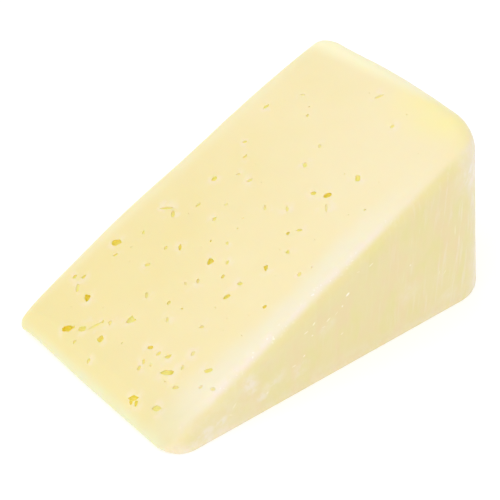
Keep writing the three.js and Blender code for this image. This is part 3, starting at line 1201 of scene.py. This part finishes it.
@dataclass(frozen=True)
class CheesePaste:
    """Pale yellow cheese: smooth cut faces, openings with a painted golden glow, and a painted highlight
    band and whitish ridge along the soft edge.
    """

    form: WedgeForm
    middle: tuple[float, float]
    body: PasteBody = PasteBody()
    soft_edge: SoftEdge = SoftEdge()
    hollows: Hollows = Hollows()
    upper_depth: Span = (5.0, 1.0)
    grain: Clouds = Clouds(0.9, 3.0, 0.6)
    streaks: Clouds = Clouds(1.6, upright=0.14)
    grain_relief: float = 0.3
    streak_relief: float = 0.6
    dash_relief: float = 0.8
    relief_strength: float = 0.35
    relief_height: float = 0.12 * MM
    roughness: float = 0.46
    grain_roughness: float = 0.1
    near_side_smoother: float = 0.06
    refraction: float = 1.42
    scatter_share: float = 0.5
    scatter_reach: float = 1.8 * MM
    scatter_colours: tuple[float, float, float] = (1.0, 0.7, 0.3)

    def spot(self, tree: ShaderTree) -> Spot:
        """Works out where each point lies.

        Args:
            tree: The material's nodes.

        Returns:
            The place and the distances that the finishes read.
        """
        place, x, y, z = tree.object_millimetres()
        slope = self.form.slope_angle
        from_axis = x + self.middle[0]
        below_cut = from_axis * math.sin(slope) - z * math.cos(slope)
        return Spot(
            tree=tree,
            place=place,
            height=z,
            from_axis=from_axis,
            along=from_axis * math.cos(slope) + z * math.sin(slope) - self.form.tip_on_face,
            across=y + self.middle[1],
            below_cut=below_cut,
            on_upper=below_cut.eased(*self.upper_depth),
            flat=tree.output(tree.add("ShaderNodeCombineXYZ", None, {0: from_axis, 1: z})),
        )

    def material(self) -> bpy.types.Material:
        """Builds the material.

        Returns:
            The cheese material, which reads Object coordinates and three point attributes.
        """
        tree = ShaderTree("cheese paste")
        spot = self.spot(tree)
        flat_sides = FlatSides(self.form.width)
        near_side = flat_sides.near(spot)
        sides = near_side.at_least(flat_sides.far(spot))
        dashes = flat_sides.dashes(spot)

        # The paste, with the painted highlight along the soft edge.
        colour = self.soft_edge.over(spot, self.body.colour(spot))
        # Painted glow and painted shade at the thin rims.
        colour = ThinRims(self.form.width).over(spot, colour)
        colour = tree.mixed(sides, colour, flat_sides.colour(spot))
        # Short dashes painted white, as scratches and their highlight.
        colour = tree.mixed(dashes, colour, flat_sides.scratch_and_glint)
        # Painted glow inside the openings and painted highlight beside the large ones.
        colour = self.hollows.over(spot, colour)

        grain = spot.clouds(self.grain)
        streaks = spot.clouds(self.streaks) * sides
        relief = grain * self.grain_relief + streaks * self.streak_relief + dashes * self.dash_relief
        roughness = self.roughness + grain * self.grain_roughness - near_side * self.near_side_smoother
        bump = tree.add("ShaderNodeBump", None, {
            "Strength": self.relief_strength,
            "Distance": self.relief_height,
            "Height": relief,
        })
        shader = tree.add("ShaderNodeBsdfPrincipled", {"subsurface_method": "RANDOM_WALK"}, {
            "Base Color": colour,
            "Roughness": roughness,
            "Normal": tree.output(bump),
            "IOR": self.refraction,
            "Subsurface Weight": self.scatter_share,
            "Subsurface Radius": self.scatter_colours,
            "Subsurface Scale": self.scatter_reach,
        })
        tree.add("ShaderNodeOutputMaterial", None, {"Surface": tree.output(shader)})
        return tree.material


@dataclass(frozen=True)
class FloorFinish:
    """A plain pale tabletop that is also lit from below."""

    colour: Paint = Paint(216, 216, 216)
    roughness: float = 0.9
    shine: float = 0.1
    glow_colour: Paint = Paint(255, 255, 255)
    glow: float = 0.38

    def material(self) -> bpy.types.Material:
        """Builds the floor's material.

        Returns:
            The material, the same all over.
        """
        tree = ShaderTree("plain pale floor")
        shader = tree.add("ShaderNodeBsdfPrincipled", None, {
            "Base Color": self.colour,
            "Roughness": self.roughness,
            "Specular IOR Level": self.shine,
            "Emission Color": self.glow_colour,
            "Emission Strength": self.glow,
        })
        tree.add("ShaderNodeOutputMaterial", None, {"Surface": tree.output(shader)})
        return tree.material


# --------------------------------------------------------------------------------------------
# Objects of the scene.
# --------------------------------------------------------------------------------------------


def in_scene(name: str, data: bpy.types.ID) -> bpy.types.Object:
    """Adds an object with this data to the scene.

    Args:
        name: The object's name.
        data: Its mesh, lamp or camera.

    Returns:
        The object.
    """
    made = bpy.data.objects.new(name, data)
    bpy.context.scene.collection.objects.link(made)
    return made


def as_object(bm: bmesh.types.BMesh, name: str) -> bpy.types.Object:
    """Turns a bmesh into an object of the scene and frees it.

    Args:
        bm: The bmesh.
        name: Name of the object and of its mesh.

    Returns:
        The object.
    """
    mesh = bpy.data.meshes.new(name)
    bm.to_mesh(mesh)
    bm.free()
    return in_scene(name, mesh)


# --------------------------------------------------------------------------------------------
# The wedge.
# --------------------------------------------------------------------------------------------


@dataclass
class CheeseWedge:
    """The wedge: a fine skin with real openings cut into it."""

    form: WedgeForm = field(default_factory=WedgeForm)
    pattern: OpeningPattern = field(default_factory=OpeningPattern)
    steps_along: int = 140
    steps_across: int = 78
    steps_up: int = 52
    dent_height: float = 0.07
    dent_size: float = 9.0
    grain_height: float = 0.035
    grain_size: float = 3.1
    relief_from_foot: Span = (0.2, 3.0)
    raggedness: float = 0.16
    crags: float = 1.6
    fine_crags: float = 4.0
    fine_share: float = 0.6
    crag_seeds: tuple[float, float, float] = (3.7, 1.3, 0.0)
    rounds_large: int = 3
    rounds_small: int = 2
    oval_share: float = 0.35
    corner_share: float = 0.85
    sink: float = 0.28
    hollow_depth: Span = (0.06, 1.2)
    rim_highlight_gap: Span = (0.5, 2.2)
    rim_angle: float = 38.0
    large_opening: float = 1.5

    def skin(self) -> bpy.types.Object:
        """Builds the uncut wedge.

        Returns:
            An object in millimetres, in the frame of the wheel.
        """
        bm = bmesh.new()
        bmesh.ops.create_cube(bm, size=1.0)
        bmesh.ops.translate(bm, verts=bm.verts, vec=Vector((0.5, 0.5, 0.5)))
        for axis, steps in enumerate((self.steps_along, self.steps_across, self.steps_up)):
            runs = [e for e in bm.edges if abs(e.verts[0].co[axis] - e.verts[1].co[axis]) > 0.5]
            bmesh.ops.subdivide_edges(bm, edges=runs, cuts=steps - 1, use_grid_fill=True)
        unit = np.array([v.co for v in bm.verts])
        shaped = self.with_fine_relief(self.form.moved_to_skin(self.form.on_plain_wedge(unit)))
        for vertex, place in zip(bm.verts, shaped):
            vertex.co = place
        bmesh.ops.recalc_face_normals(bm, faces=bm.faces)
        return as_object(bm, "wedge skin")

    def with_fine_relief(self, points: np.ndarray) -> np.ndarray:
        """Adds the skin's small dents.

        Args:
            points: Points on the skin.

        Returns:
            The points, moved in or out by up to about a tenth of a millimetre.
        """
        outward = -self.form.inward(points)
        outward /= np.maximum(np.linalg.norm(outward, axis=1), TINY)[:, None]
        dents = np.array([noise.noise(Vector(p) / self.dent_size) for p in points])
        grain = np.array([noise.noise(Vector(p) / self.grain_size) for p in points])
        height = self.dent_height * dents + self.grain_height * grain
        return points + outward * (height * smooth_step(points[:, 2], *self.relief_from_foot))[:, None]

    def outline_reach(self, angle: float, outline: Outline, bite: float) -> float:
        """How far an opening's outline reaches at an angle about its middle, about 1.

        Args:
            angle: Angle about the middle, in radians.
            outline: The kind of outline.
            bite: A number from 0 to 1 that turns the corners.

        Returns:
            The reach.
        """
        if outline is Outline.OVAL:
            return 1.0
        sector = 2 * math.pi / outline.value
        within = (angle + bite * sector) % sector - sector / 2
        straight = math.cos(sector / 2) / math.cos(within)
        return self.oval_share + self.corner_share * straight

    def cutter(self, opening: Opening, number: int) -> bpy.types.Object:
        """A craggy blob to be cut out of the wedge.

        Args:
            opening: The opening.
            number: Its number, which seeds its crags.

        Returns:
            The blob, in place.
        """
        rounds = self.rounds_large if opening.length > self.large_opening else self.rounds_small
        bm = bmesh.new()
        bmesh.ops.create_icosphere(bm, subdivisions=rounds, radius=1.0)
        offset = Vector([number * seed for seed in self.crag_seeds])
        bite = (number * GOLDEN_SHARE) % 1
        for vertex in bm.verts:
            direction = vertex.co.normalized()
            reach = self.outline_reach(math.atan2(direction.y, direction.x), opening.outline, bite)
            coarse = noise.noise(direction * self.crags + offset)
            fine = noise.noise(direction * self.fine_crags + offset)
            crag = 1 + self.raggedness * (coarse + self.fine_share * fine)
            flat = crag * (reach + (1 - reach) * abs(direction.z))
            vertex.co = Vector((direction.x * flat, direction.y * flat, direction.z * crag))
        size = Vector((opening.length / 2, opening.width / 2, opening.reach_in))
        bmesh.ops.scale(bm, verts=bm.verts, vec=size)
        bmesh.ops.transform(bm, verts=bm.verts, matrix=self.opening_frame(opening))
        bmesh.ops.recalc_face_normals(bm, faces=bm.faces)
        return as_object(bm, f"opening {number}")

    def opening_frame(self, opening: Opening) -> Matrix:
        """Place and turn of an opening: its x runs along its length and its z out of the cheese.

        Args:
            opening: The opening.

        Returns:
            The frame's matrix, in millimetres in the wheel's frame.
        """
        distance = opening.along + self.form.tip_on_face
        if opening.face is CutFace.UPPER:
            start = self.form.up_the_face * distance + np.array([0, opening.across, 0])
        else:
            start = np.array([distance, opening.across, 0.0])
        skin = self.form.moved_to_skin(start[None, :])
        outward = Vector(-self.form.inward(skin)[0]).normalized()
        middle = Vector(skin[0]) - outward * self.sink * opening.reach_in
        sideways = outward.cross(Vector(self.form.up_the_face)).normalized()
        forward = sideways.cross(outward)
        axes = Matrix((forward, sideways, outward)).transposed().to_4x4()
        return Matrix.Translation(middle) @ axes @ Matrix.Rotation(math.radians(opening.turn), 4, "Z")

    def cut(self, skin: bpy.types.Object) -> bpy.types.Object:
        """Cuts the openings into the skin.

        Args:
            skin: The uncut wedge.

        Returns:
            The cut wedge, a new object. The skin and the cutters are removed.
        """
        blobs = [self.cutter(o, i) for i, o in enumerate(self.pattern.all(self.form))]
        group = bpy.data.collections.new("openings")
        for blob in blobs:
            group.objects.link(blob)
        modifier = skin.modifiers.new("openings", "BOOLEAN")
        modifier.operation = "DIFFERENCE"
        modifier.operand_type = "COLLECTION"
        modifier.collection = group
        modifier.solver = "MANIFOLD"
        graph = bpy.context.evaluated_depsgraph_get()
        mesh = bpy.data.meshes.new_from_object(skin.evaluated_get(graph))
        for old in [*blobs, skin]:
            bpy.data.objects.remove(old)
        bpy.data.collections.remove(group)
        return in_scene("cheese_paste", mesh)

    def marks(self, points: np.ndarray) -> dict[str, np.ndarray]:
        """Works out what the finish needs to know at each point.

        Args:
            points: One row for each point.

        Returns:
            `hollow` is the depth in an opening, which carries the painted glow, `tone` the nearest
            opening's tone, and `rim` is 1 close to a large opening, where the painted highlight lies, and 0
            away from them.
        """
        start, full = self.hollow_depth
        hollow = np.clip((self.form.depth_below_skin(points) - start) / (full - start), 0, 1)
        openings = self.pattern.all(self.form)
        middles = np.array([self.opening_frame(o).translation for o in openings])
        radii = np.array([o.length / 2 for o in openings])
        tones = np.array([o.tone for o in openings])
        beyond = np.linalg.norm(points[:, None, :] - middles[None, :, :], axis=2) - radii
        nearest = beyond.argmin(axis=1)
        large = radii[nearest] > self.large_opening / 2
        rim = np.where(large, 1 - smooth_step(beyond.min(axis=1), *self.rim_highlight_gap), 0)
        return {"hollow": hollow, "tone": tones[nearest], "rim": rim}

    def finished(self, wedge: bpy.types.Object) -> tuple[float, float]:
        """Marks the hollows, shades the skin smooth and moves the mesh into the model's frame.

        Args:
            wedge: The cut wedge, in millimetres in the wheel's frame.

        Returns:
            The model's origin in the wheel's frame, as x and y in millimetres.
        """
        mesh = wedge.data
        mesh.name = wedge.name
        points = np.empty(len(mesh.vertices) * 3)
        mesh.vertices.foreach_get("co", points)
        points = points.reshape(-1, 3)
        for name, values in self.marks(points).items():
            mesh.attributes.new(name, "FLOAT", "POINT").data.foreach_set("value", values)
        middle = (points.min(axis=0) + points.max(axis=0)) / 2
        base = Vector((middle[0], middle[1], points[:, 2].min()))
        mesh.transform(Matrix.Scale(MM, 4) @ Matrix.Translation(-base))
        mesh.shade_smooth()
        mesh.set_sharp_from_angle(angle=math.radians(self.rim_angle))
        return middle[0], middle[1]

    def build(self) -> bpy.types.Object:
        """Builds and dresses the wedge.

        Returns:
            The finished piece.
        """
        wedge = self.cut(self.skin())
        middle = self.finished(wedge)
        log.info("the model's origin lies at x %.2f, y %.2f mm in the wheel", *middle)
        wedge.data.materials.clear()
        wedge.data.materials.append(CheesePaste(self.form, middle).material())
        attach(wedge, "root")
        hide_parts(NODE)
        return wedge


# --------------------------------------------------------------------------------------------
# The studio.
# --------------------------------------------------------------------------------------------


def set_back(thing: bpy.types.Object, aim: Vector, azimuth: float, elevation: float,
             distance: float) -> None:
    """Moves a lamp or a camera back from the point that it faces.

    Args:
        thing: The lamp or camera.
        aim: The point that it faces.
        azimuth: Degrees about +Z. At 0 it looks along +Y.
        elevation: Degrees above the horizon.
        distance: Distance from the point.
    """
    a, e = math.radians(azimuth), math.radians(elevation)
    back = Vector((math.sin(a) * math.cos(e), -math.cos(a) * math.cos(e), math.sin(e)))
    thing.location = aim + back * distance
    thing.rotation_euler = back.to_track_quat("Z", "Y").to_euler()


@dataclass(frozen=True)
class SoftLamp:
    """A large soft lamp that faces the object."""

    name: str
    azimuth: float
    elevation: float
    distance: float
    width: float
    watts: float

    def build(self) -> bpy.types.Object:
        """Hangs the lamp.

        Returns:
            The lamp.
        """
        data = bpy.data.lights.new(self.name, "AREA")
        data.shape = "SQUARE"
        data.size = self.width
        data.energy = self.watts
        lamp = in_scene(self.name, data)
        set_back(lamp, Vector(), self.azimuth, self.elevation, self.distance)
        return lamp


@dataclass(frozen=True)
class Studio:
    """A pale floor, soft light from all round and the camera."""

    floor_half: float = 3.0
    floor_cells: int = 8
    sky_colour: Paint = Paint(255, 255, 255)
    sky: float = 0.915
    key: SoftLamp = SoftLamp("key", azimuth=-75, elevation=52, distance=0.9, width=0.8, watts=2.25)
    lens: float = 82.0
    sensor: float = 36.0
    nearest_seen: float = 0.01
    azimuth: float = -40.215
    elevation: float = 32.49
    distance: float = 0.3135
    aim: tuple[float, float, float] = (-0.01081, -0.00255, 0.02313)

    def floor(self) -> bpy.types.Object:
        """Lays the floor.

        Returns:
            The floor.
        """
        bm = bmesh.new()
        cells = self.floor_cells
        bmesh.ops.create_grid(bm, x_segments=cells, y_segments=cells, size=self.floor_half)
        floor = as_object(bm, "floor")
        floor.data.materials.append(FloorFinish().material())
        return floor

    def light(self) -> None:
        """Lights the studio."""
        world = bpy.data.worlds.new("studio")
        world.use_nodes = True
        background = world.node_tree.nodes["Background"]
        background.inputs["Color"].default_value = self.sky_colour.linear()
        background.inputs["Strength"].default_value = self.sky
        bpy.context.scene.world = world
        self.key.build()

    def camera(self) -> bpy.types.Object:
        """Sets up the camera.

        Returns:
            The camera.
        """
        data = bpy.data.cameras.new("camera")
        data.lens = self.lens
        data.sensor_width = self.sensor
        data.clip_start = self.nearest_seen
        camera = in_scene("camera", data)
        set_back(camera, Vector(self.aim), self.azimuth, self.elevation, self.distance)
        bpy.context.scene.camera = camera
        return camera

    def build(self) -> None:
        """Builds the studio and picks plain colours for the picture."""
        self.floor()
        self.light()
        self.camera()
        bpy.context.scene.view_settings.view_transform = "Standard"


def note_sizes() -> None:
    """Brings the scene's view layer up to date."""
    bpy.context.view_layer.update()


def main() -> None:
    """Builds the wedge and the studio, and reports each piece."""
    logging.basicConfig(level=logging.INFO, format="%(name)s: %(message)s")
    wedge = CheeseWedge().build()
    log.info("%s: %d faces", wedge.name, len(wedge.data.polygons))
    Studio().build()
    log.info("studio: floor, lamps and camera")
    note_sizes()


if __name__ == "__main__":
    main()
